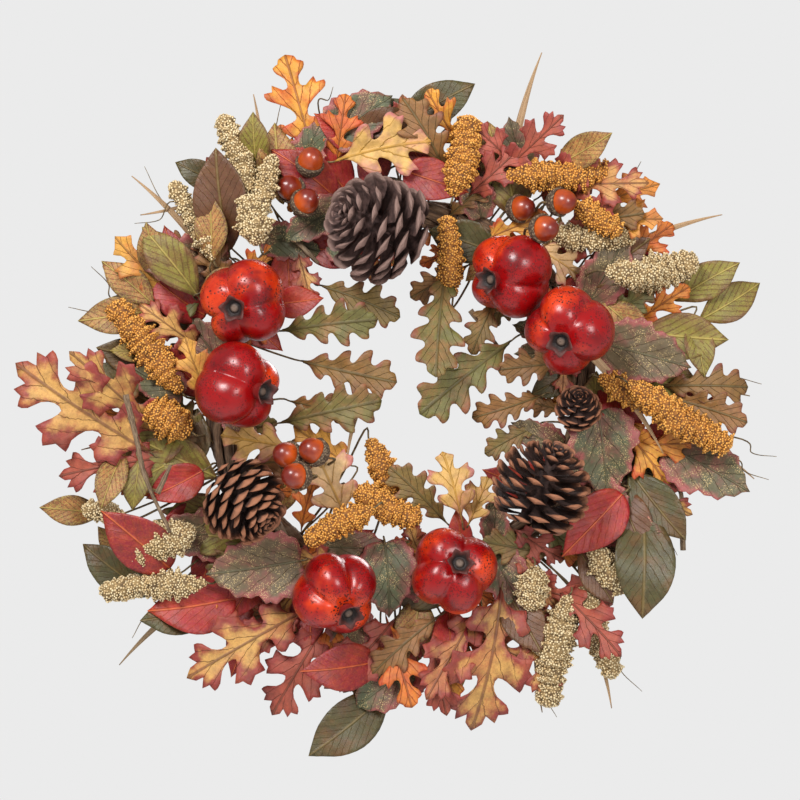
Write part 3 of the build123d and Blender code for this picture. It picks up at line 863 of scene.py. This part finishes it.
# Fine dry wisps: where each one leaves the foliage, and its tip, right and up from the ring's middle
WISPS = (
    ((-169, 137), (-208, 186)), ((-179, 155), (-215, 139)), ((-228, 74), (-250, 104)),
    ((-224, 68), (-268, 71)), ((180, 168), (196, 190)), ((240, 12), (295, 9)),
    ((270, -34), (306, -50)), ((262, -48), (296, -68)), ((172, -196), (196, -240)),
    ((118, -226), (126, -259)), ((-66, 232), (-54, 249)), ((216, -84), (225, -130)),
    ((-100, 205), (-96, 236)), ((30, 205), (42, 240)), ((-186, -170), (-216, -196)),
    ((-40, -92), (-8, -60)),
)
wisps = []
for start, tip in WISPS:
    leaving = ring_centre + np.array((start[0], 0, start[1])) * MM
    leaving[1] = -chance.uniform(26, 40) * MM
    end = ring_centre + np.array((tip[0], 0, tip[1])) * MM
    end[1] = leaving[1] + chance.uniform(-8, 8) * MM
    aside = np.cross(FRONT, end - leaving) * chance.uniform(-0.16, 0.16)
    path = smooth_path([held_at(leaving, chance), leaving, (leaving + end) / 2 + aside, end], 8)
    wisps.append(tube(path, np.linspace(0.9, 0.25, len(path)) * MM, 6, tone=chance.random()))
finish_piece(mesh_of("dry_wisps", wisps, STEM), "grass")

# ---------------------------------------------------------------- pomegranates and their crowns


def fruit_warp(lobes, phase, depth, size):
    """Pulls a ball in between its lobes, most of all near the crown."""

    def warp(radius, height, around):
        uneven = around + 0.22 * math.sin(around + 2 * phase)
        lobe = abs(math.sin(lobes / 2 * uneven + phase)) ** 0.75
        pull = 1 - depth * (1 - lobe) * (1 + 0.5 * height / size)
        bulge = 0.10 * size * (lobe - 0.5) * (radius / size) * (1 if height > 0 else -0.4)
        return radius * pull, height + bulge

    return warp


def fruit_shape(centre, axis, radius, seed):
    """A squat lobed fruit, dimpled at the crown."""
    turns = random.Random(seed)
    profile = []
    for step in range(49):
        angle = math.pi * step / 48
        swell = math.sin(angle)
        height = -math.cos(angle) * 0.84
        height -= 0.17 * math.exp(-(((angle - math.pi) / 0.45) ** 2))
        height += 0.12 * math.exp(-((angle / 0.45) ** 2))
        profile.append((radius * swell, radius * height))
    warp = fruit_warp(4, turns.uniform(0, 6.28), turns.uniform(0.17, 0.23), radius)
    return spun(profile, centre, axis, 96, warp=warp)


def crown_shape(centre, axis, radius, height, seed):
    """A dried crown: a short neck that opens in ragged points round a dark hollow."""
    turns = random.Random(seed)
    teeth = turns.choice((5, 6))
    phase = turns.uniform(0, 6.28)

    def ragged(radius_here, height_here, around):
        share = (teeth * around / (2 * math.pi) + phase) % 1
        tooth = max(0.0, 1 - 2.4 * abs(share - 0.5))
        rise = max(0.0, height_here / height - 0.3) * (radius_here > 0.7 * radius)
        return radius_here * (1 + 0.5 * rise * tooth), height_here + height * 0.55 * rise * tooth

    profile = [
        (0.0, -0.45), (0.74, -0.40), (0.80, 0.0), (0.80, 0.35), (0.92, 0.72), (1.06, 0.95), (1.0, 0.98),
        (0.82, 0.80), (0.66, 0.42), (0.52, 0.36), (0.42, 0.52), (0.2, 0.60), (0.0, 0.56),
    ]
    return spun([(out * radius, up * height) for out, up in profile], centre, axis, 72, warp=ragged)


CROWN_SIZE = 8 * MM
fruit_nodes = {node for node in NODES if node.startswith("pomegranate_")}
fruit_nodes -= {"pomegranate_crowns", "pomegranate_picks"}
crown_solids = islands("pomegranate_crowns")
crowns = []
for seed, node in enumerate(sorted(fruit_nodes)):
    low, high = box_of(node)
    centre = (low + high) / 2
    crown = min(crown_solids, key=lambda solid: np.linalg.norm(solid.mean(0) - centre))
    axis = unit(box_centre(crown) - centre)
    radius = (high - low).max() / 2 * 1.07
    piece = mesh_of(node + "_skin", [fruit_shape(centre, axis, radius, seed)], SKIN)
    finish_piece(piece, "pomegranate", node)
    crowns.append(crown_shape(centre + axis * radius * 0.72, axis, CROWN_SIZE, CROWN_SIZE, seed))
finish_piece(mesh_of("pomegranate_crown_husks", crowns, HUSK), "crown", "pomegranate_crowns")

# ---------------------------------------------------------------- seed heads


def bead_tree(material, core):
    """Beads scattered over a lumpy core."""
    grow = Growth("bead_scatter", Spacing="Float", Bead="Float", Seed="Int")
    spots = grow.node("GeometryNodeDistributePointsOnFaces", {"distribute_method": "POISSON"}, {
        "Mesh": grow.given("Geometry"), "Distance Min": grow.given("Spacing"), "Seed": grow.given("Seed"),
        "Density Max": 600000.0})
    ball = grow.node("GeometryNodeMeshIcoSphere", {}, {"Radius": 1.0, "Subdivisions": 1})
    size = grow.random(0.75, 1.2) * grow.given("Bead")
    beads = grow.placed(spots, ball, spots.other("Rotation"), size, material)
    beads = grow.node("GeometryNodeSetShadeSmooth", {}, {0: beads})
    cored = grow.painted(grow.given("Geometry"), core)
    joined = grow.node("GeometryNodeJoinGeometry", {}, {0: [beads, cored]})
    grow.plug(grow.exit.inputs[0], joined)
    return grow


def seed_core(base, direction, length, thickness, chance):
    """The lumpy spindle that a seed head's beads sit on, bent a little as it hangs."""
    across = np.cross(FRONT, direction)
    bend = chance.uniform(-0.10, 0.10)
    steps = max(8, round(length / (3.2 * MM)))
    path, radii = [], []
    for step in range(steps + 1):
        t = step / steps
        sway = bend * t * t + 0.012 * math.sin(9 * t)
        path.append(base + length * (t * direction + sway * across))
        full = max(0.16, 0.25 + 0.75 * min(1.0, 4 * t)) * (1 - 0.9 * max(0.0, t - 0.45) ** 1.5)
        lump = (0.78 + 0.26 * (step % 2)) * chance.uniform(0.86, 1.06)
        radii.append(0.6 * thickness * full * lump)
    radii[-1] = 0.12 * thickness
    return tube(path, radii, 12, lumps=0.22, chance=chance)


SEEDS = {"cream": (CREAM, CREAM_CORE), "gold": (GOLD, GOLD_CORE)}
BEAD = 0.98 * MM
seed_stems = []
for node in sorted(node for node in NODES if "seed_heads" in node):
    colour = node.split("_")[0]
    material, core = SEEDS[colour]
    cores = []
    for solid in islands(node):
        centre, direction, half = long_axis(solid)
        outwards = centre - ring_centre
        if direction @ outwards < 0:
            direction = -direction
        direction = unit(direction * (1, 0, 1))
        thickness = solid[:, 1].max() - solid[:, 1].min()
        base = centre - direction * half
        cores.append(seed_core(base, direction, 2 * half, thickness, chance))
        seed_stems.append(stem_to(base, direction, chance, 0.9 * MM))
    sizes = {"Spacing": 1.72 * BEAD, "Bead": BEAD, "Seed": len(node)}
    carrier = mesh_of(node + "_core", cores, core)
    piece = bead_tree(material, core).grown(node + "_beads", carrier, sizes)
    finish_piece(piece, colour + "_seed", node)
finish_piece(mesh_of("seed_head_wires", seed_stems, STEM), "stem", "seed_head_stems")

# ---------------------------------------------------------------- pine cones

# Where each cone points, how far its scales stand open, how many it has and their width
CONE_WAYS = {
    "pinecone_top": ((-0.74, -0.58, 0.26), 0.95, 84, 1.3),
    "pinecone_lower_left": ((0.66, -0.40, -0.62), 0.72, 100, 1.15),
    "pinecone_lower_right": ((0.34, -0.36, 0.86), 0.95, 84, 1.05),
    "pinecone_right": ((0.0, -0.8, 0.6), 0.9, 64, 1.2),
}


def cone_scale():
    """One woody scale of length 1, along +X, with a thick rhombic lip."""
    stations = (
        (0.0, 0.05, 0.02, 0.0), (0.35, 0.10, 0.022, -0.01), (0.65, 0.19, 0.03, 0.01),
        (0.82, 0.25, 0.05, 0.05), (0.92, 0.235, 0.075, 0.09), (0.98, 0.17, 0.06, 0.12),
        (1.01, 0.06, 0.03, 0.135))
    points, faces, uv = [], [], []
    for x, half, thick, rise in stations:
        for y, z in ((-1, 0.0), (-0.5, 0.7), (0, 1.0), (0.5, 0.7), (1, 0.0), (0, -0.8)):
            points.append((x, y * half, rise + z * thick + 0.10 * half * abs(y)))
            uv.append((x, 0.5 + 0.5 * y))
    last = (len(stations) - 1) * 6
    for first in range(0, last, 6):
        faces += band(first, first + 6, 6)
    faces += [tuple(reversed(range(6))), tuple(range(last, last + 6))]
    return Shape(points, [tuple(reversed(face)) for face in faces], np.array(uv))


def cone_tree(material):
    """Scales set round a core, each a golden angle on from the last."""
    grow = Growth("cone_spiral", Scales="Int", Reach="Float", Open="Float", Width="Float")
    count, reach = grow.given("Scales"), grow.given("Reach")
    index = grow.node("GeometryNodeInputIndex")
    share = index / count
    angle = index * GOLDEN_ANGLE
    girth = (share * 2.15 + 0.85).math("SINE").math("MAXIMUM", 0.16)
    core = girth * 0.14 * reach
    place = grow.vector(angle.math("COSINE") * core, angle.math("SINE") * core, (share * 1.45 - 0.72) * reach)
    cloud = grow.node("GeometryNodePoints", {}, {"Count": count, "Position": place})
    tilt = share * share * 1.05 + (1.0 - grow.given("Open")) * 1.1 - 0.15 + grow.random(-0.10, 0.10, 4)
    turn = grow.vector(0.0, tilt * -1.0, angle)
    length = girth * 0.84 * reach * grow.random(0.90, 1.04, 9)
    broad = length * grow.given("Width")
    size = grow.vector(length, broad, broad)
    grow.plug(grow.exit.inputs[0], grow.placed(cloud, grow.given("Geometry"), turn, size, material))
    return grow


CONE_CORE = ((0, -0.80), (0.16, -0.76), (0.22, -0.4), (0.20, 0.1), (0.12, 0.5), (0.05, 0.72), (0, 0.78))
BROWN_CONE = cone_finish("brown_cone_scales", paint(62, 40, 34), paint(166, 108, 76), paint(88, 62, 52))
DUSTY_CONE = cone_finish("dusty_cone_scales", paint(98, 72, 66), paint(134, 106, 96), paint(120, 94, 88))
for node, (way, openness, scales, width) in CONE_WAYS.items():
    low, high = box_of(node)
    centre = (low + high) / 2
    reach = (high - low).max() / 2
    material = DUSTY_CONE if node == "pinecone_top" else BROWN_CONE
    carrier = mesh_of(node + "_scale", [cone_scale()], material, smooth=False)
    sizes = {"Scales": scales, "Reach": float(reach), "Open": openness, "Width": width}
    piece = cone_tree(material).grown(node + "_scales", carrier, sizes)
    turn = Vector(way).normalized().to_track_quat("Z", "Y").to_matrix().to_4x4()
    piece.data.transform(Matrix.Translation(Vector(centre)) @ turn)
    finish_piece(piece, "pinecone", node)
    profile = [(radius * reach, height * reach) for radius, height in CONE_CORE]
    finish_piece(mesh_of(node + "_heart", [spun(profile, centre, way, 20)], material), "pinecone")

# ---------------------------------------------------------------- acorns

NUT_GIRTH = 10 * MM
CAP_ROWS = 9
CAP_SCALES = 26
acorn_wires = []
for cluster in ("upper_left", "upper_right", "lower_left"):
    nuts, caps = [], []
    cap_solids = islands("acorn_caps_" + cluster)
    for solid in islands("acorn_nuts_" + cluster):
        centre, axis, half = long_axis(solid)
        cap_centre = min((cap.mean(0) for cap in cap_solids), key=lambda spot: np.linalg.norm(spot - centre))
        if axis @ (cap_centre - centre) > 0:
            axis = -axis
        angles = [math.pi * step / 24 for step in range(24)]
        profile = [(NUT_GIRTH * math.sin(angle) ** 0.9, -half * math.cos(angle)) for angle in angles]
        nuts.append(spun(profile + [(0.0, half * 1.06)], centre, axis, 32))
        profile = [(0, -1.16)]
        for step in range(1, 11):
            angle = 0.5 * math.pi * step / 10
            profile.append((1.16 * math.sin(angle), -0.12 - math.cos(angle)))
        profile += [(1.02, -0.10), (0.9, -0.2), (0, -0.5)]
        cap_profile = [(NUT_GIRTH * out, half * up) for out, up in profile]

        def scaly(radius, height, around):
            row = height / half * CAP_ROWS
            scale = abs(math.sin(CAP_SCALES / 2 * around + (int(row) % 2) * math.pi / 2)) * (row % 1)
            return radius * (1 + 0.05 * scale), height

        caps.append(spun(cap_profile, centre, axis, 64, warp=scaly))
        acorn_wires.append(stem_to(centre - axis * half * 1.12, axis, chance, 1.1 * MM))
    finish_piece(mesh_of("acorn_shells_" + cluster, nuts, NUT), "acorn_nut", "acorn_nuts_" + cluster)
    finish_piece(mesh_of("acorn_scaly_caps_" + cluster, caps, CAP), "acorn_cap", "acorn_caps_" + cluster)
finish_piece(mesh_of("acorn_wires", acorn_wires, STEM), "stem", "acorn_stems")

# ---------------------------------------------------------------- vines, wires, picks and twigs

VINE_STEPS = 300
vine_gap = abs(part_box("vine_hoop_2")[1].x - core_high[0])
# The first vine runs in the middle and six are wound round it
for index in range(7):
    rough = random.Random(index + 40)
    path, radii = [], []
    waves = [(rough.randint(3, 9), rough.uniform(0, 6.28), rough.uniform(0.2, 0.6)) for _ in range(3)]
    for step in range(VINE_STEPS):
        angle = 2 * math.pi * step / VINE_STEPS
        sway = sum(size * math.sin(count * angle + shift) for count, shift, size in waves) * MM
        around = 2 * math.pi * (index - 1) / 6 + 4 * angle
        apart = vine_gap if index else 0.0
        out, back = apart * math.cos(around) + sway, apart * math.sin(around) + 0.6 * sway
        path.append(ring_centre + on_circle(angle) * (ring_radius + out) - FRONT * back)
        knot = 0.22 * max(0.0, math.sin(11 * angle + index)) ** 12
        radii.append(vine_radius * (0.93 + 0.07 * math.sin(5 * angle + index) + knot))
    vine = tube(path, radii, 10, closed=True, tone=index / 7, lumps=0.07, chance=rough)
    finish_piece(mesh_of(f"bark_vine_{index + 1}", [vine], BARK), "vine", f"vine_hoop_{index + 1}")

for node, material in (("frame_wire", FRAME_WIRE), ("binding_wires", BINDING), ("pomegranate_picks", PICK),
                       ("pinecone_picks", PICK)):
    mesh = NODES[node].data
    mesh.materials.clear()
    mesh.materials.append(material)

# Hanger: the wire is wound round the frame wire, twisted on itself and opened into a loop
loop_low, loop_high = box_of("hanger_loop")
rod = 1.0 * MM  # the loop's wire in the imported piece
loop_radius = (loop_high[0] - loop_low[0]) / 2 - rod
loop_centre = np.array((0, 0, loop_high[2] - loop_radius - rod))
sleeve_radius = (loop_high[1] - loop_low[1]) / 2
axle_height = loop_low[2] + sleeve_radius
neck_foot = axle_height + sleeve_radius * 0.7
neck_top = loop_centre[2] - loop_radius
wire = 0.95 * MM
strands = []
for way in (0, math.pi):
    path = []
    for t in np.linspace(0, 1, 43):
        around = way + 6 * math.pi * t
        twist = 0.85 * wire * np.array((math.cos(around), math.sin(around), 0))
        path.append(twist + (0, 0, neck_foot + t * (neck_top - neck_foot)))
    coil = []
    for t in np.linspace(0, 1, 45):
        out = (0.4 + 2.2 * t) * MM * (1 if way else -1)
        reach = sleeve_radius - wire
        around = 3 * math.pi * t
        coil.append((out, reach * math.sin(around), axle_height + reach * math.cos(around)))
    strands += [tube(path, wire, 8), tube(coil, wire, 8)]
ring = [loop_centre + loop_radius * on_circle(2 * math.pi * step / 64 - math.pi / 2) for step in range(64)]
strands.append(tube(ring, wire, 10, closed=True))
finish_piece(mesh_of("twisted_hanger", strands, HANGER), "hanger_wire", "hanger_loop", body="hanger")

for node in ("twigs_left", "twigs_right"):
    sticks = []
    for solid in islands(node):
        centre, axis, half = long_axis(solid)
        along = (solid - centre) @ axis
        cuts = np.linspace(along.min(), along.max(), 6)
        slabs = [solid[(along >= low - 1e-4) & (along <= high + 1e-4)] for low, high in zip(cuts, cuts[1:])]
        spine = [slab.mean(0) for slab in slabs if len(slab)]
        for spot in spine:
            spot += np.array((chance.uniform(-1, 1), 0, chance.uniform(-1, 1))) * MM
        path = smooth_path(spine, 8)
        knots = 1 + 0.25 * (np.arange(len(path)) % 9 == 4)
        radii = np.linspace(2.4, 1.3, len(path)) * knots * MM
        sticks.append(tube(path, radii, 10, lumps=0.08, chance=chance, tone=chance.random()))
    finish_piece(mesh_of(node + "_bark", sticks, TWIG_BARK), "twig", node)

# ---------------------------------------------------------------- camera, light and floor

PICTURE_WIDTH = 0.640
LENS = 85.0
SENSOR = 36.0
face_depth = -50 * MM
camera = add_object("camera", bpy.data.cameras.new("camera"))
camera.data.lens = LENS
camera.data.sensor_width = SENSOR
distance = PICTURE_WIDTH * LENS / SENSOR
camera.location = (0, face_depth - distance, ring_centre[2] - 4 * MM)
camera.rotation_euler = (math.pi / 2, 0, 0)
bpy.context.scene.camera = camera

world = bpy.data.worlds.new("studio")
bpy.context.scene.world = world
world.use_nodes = True
sky = world.node_tree
seen = sky.nodes["Background"]
seen.inputs["Color"].default_value = paint(235, 235, 235)
cast = sky.nodes.new("ShaderNodeBackground")
cast.inputs["Color"].default_value = (0.40, 0.40, 0.41, 1.0)
pick_ray = sky.nodes.new("ShaderNodeMixShader")
sky.links.new(sky.nodes.new("ShaderNodeLightPath").outputs["Is Camera Ray"], pick_ray.inputs[0])
sky.links.new(cast.outputs[0], pick_ray.inputs[1])
sky.links.new(seen.outputs[0], pick_ray.inputs[2])
sky.links.new(pick_ray.outputs[0], sky.nodes["World Output"].inputs[0])
bpy.context.scene.view_settings.view_transform = "Standard"


def soft_light(name, place, size, power):
    lamp = add_object(name, bpy.data.lights.new(name, "AREA"))
    lamp.data.size = size
    lamp.data.energy = power
    lamp.location = place
    aim = Vector(ring_centre) - Vector(place)
    lamp.rotation_euler = aim.to_track_quat("-Z", "Y").to_euler()


soft_light("key", (-0.6, -1.35, 0.75), 0.5, 26)
soft_light("second", (0.75, -1.5, 0.15), 0.5, 13)
soft_light("back", (0.5, 1.3, 0.7), 0.9, 20)

FLOOR_HEIGHT = -1.6
corners = ((-30, -30), (30, -30), (30, 4), (-30, 4))
floor_mesh = bpy.data.meshes.new("floor")
floor_mesh.from_pydata([(x, y, FLOOR_HEIGHT) for x, y in corners], [], [(0, 1, 2, 3)])
floor = add_object("floor", floor_mesh)
pale = Finish("pale_floor", 0.8)
pale.set("Base Color", pale.blend(pale.noise(3.0) * 0.05, paint(236, 236, 236), paint(220, 220, 220)))
pale.set("Emission Color", paint(236, 236, 236))
pale.set("Emission Strength", 0.25)
floor_mesh.materials.append(pale.material)
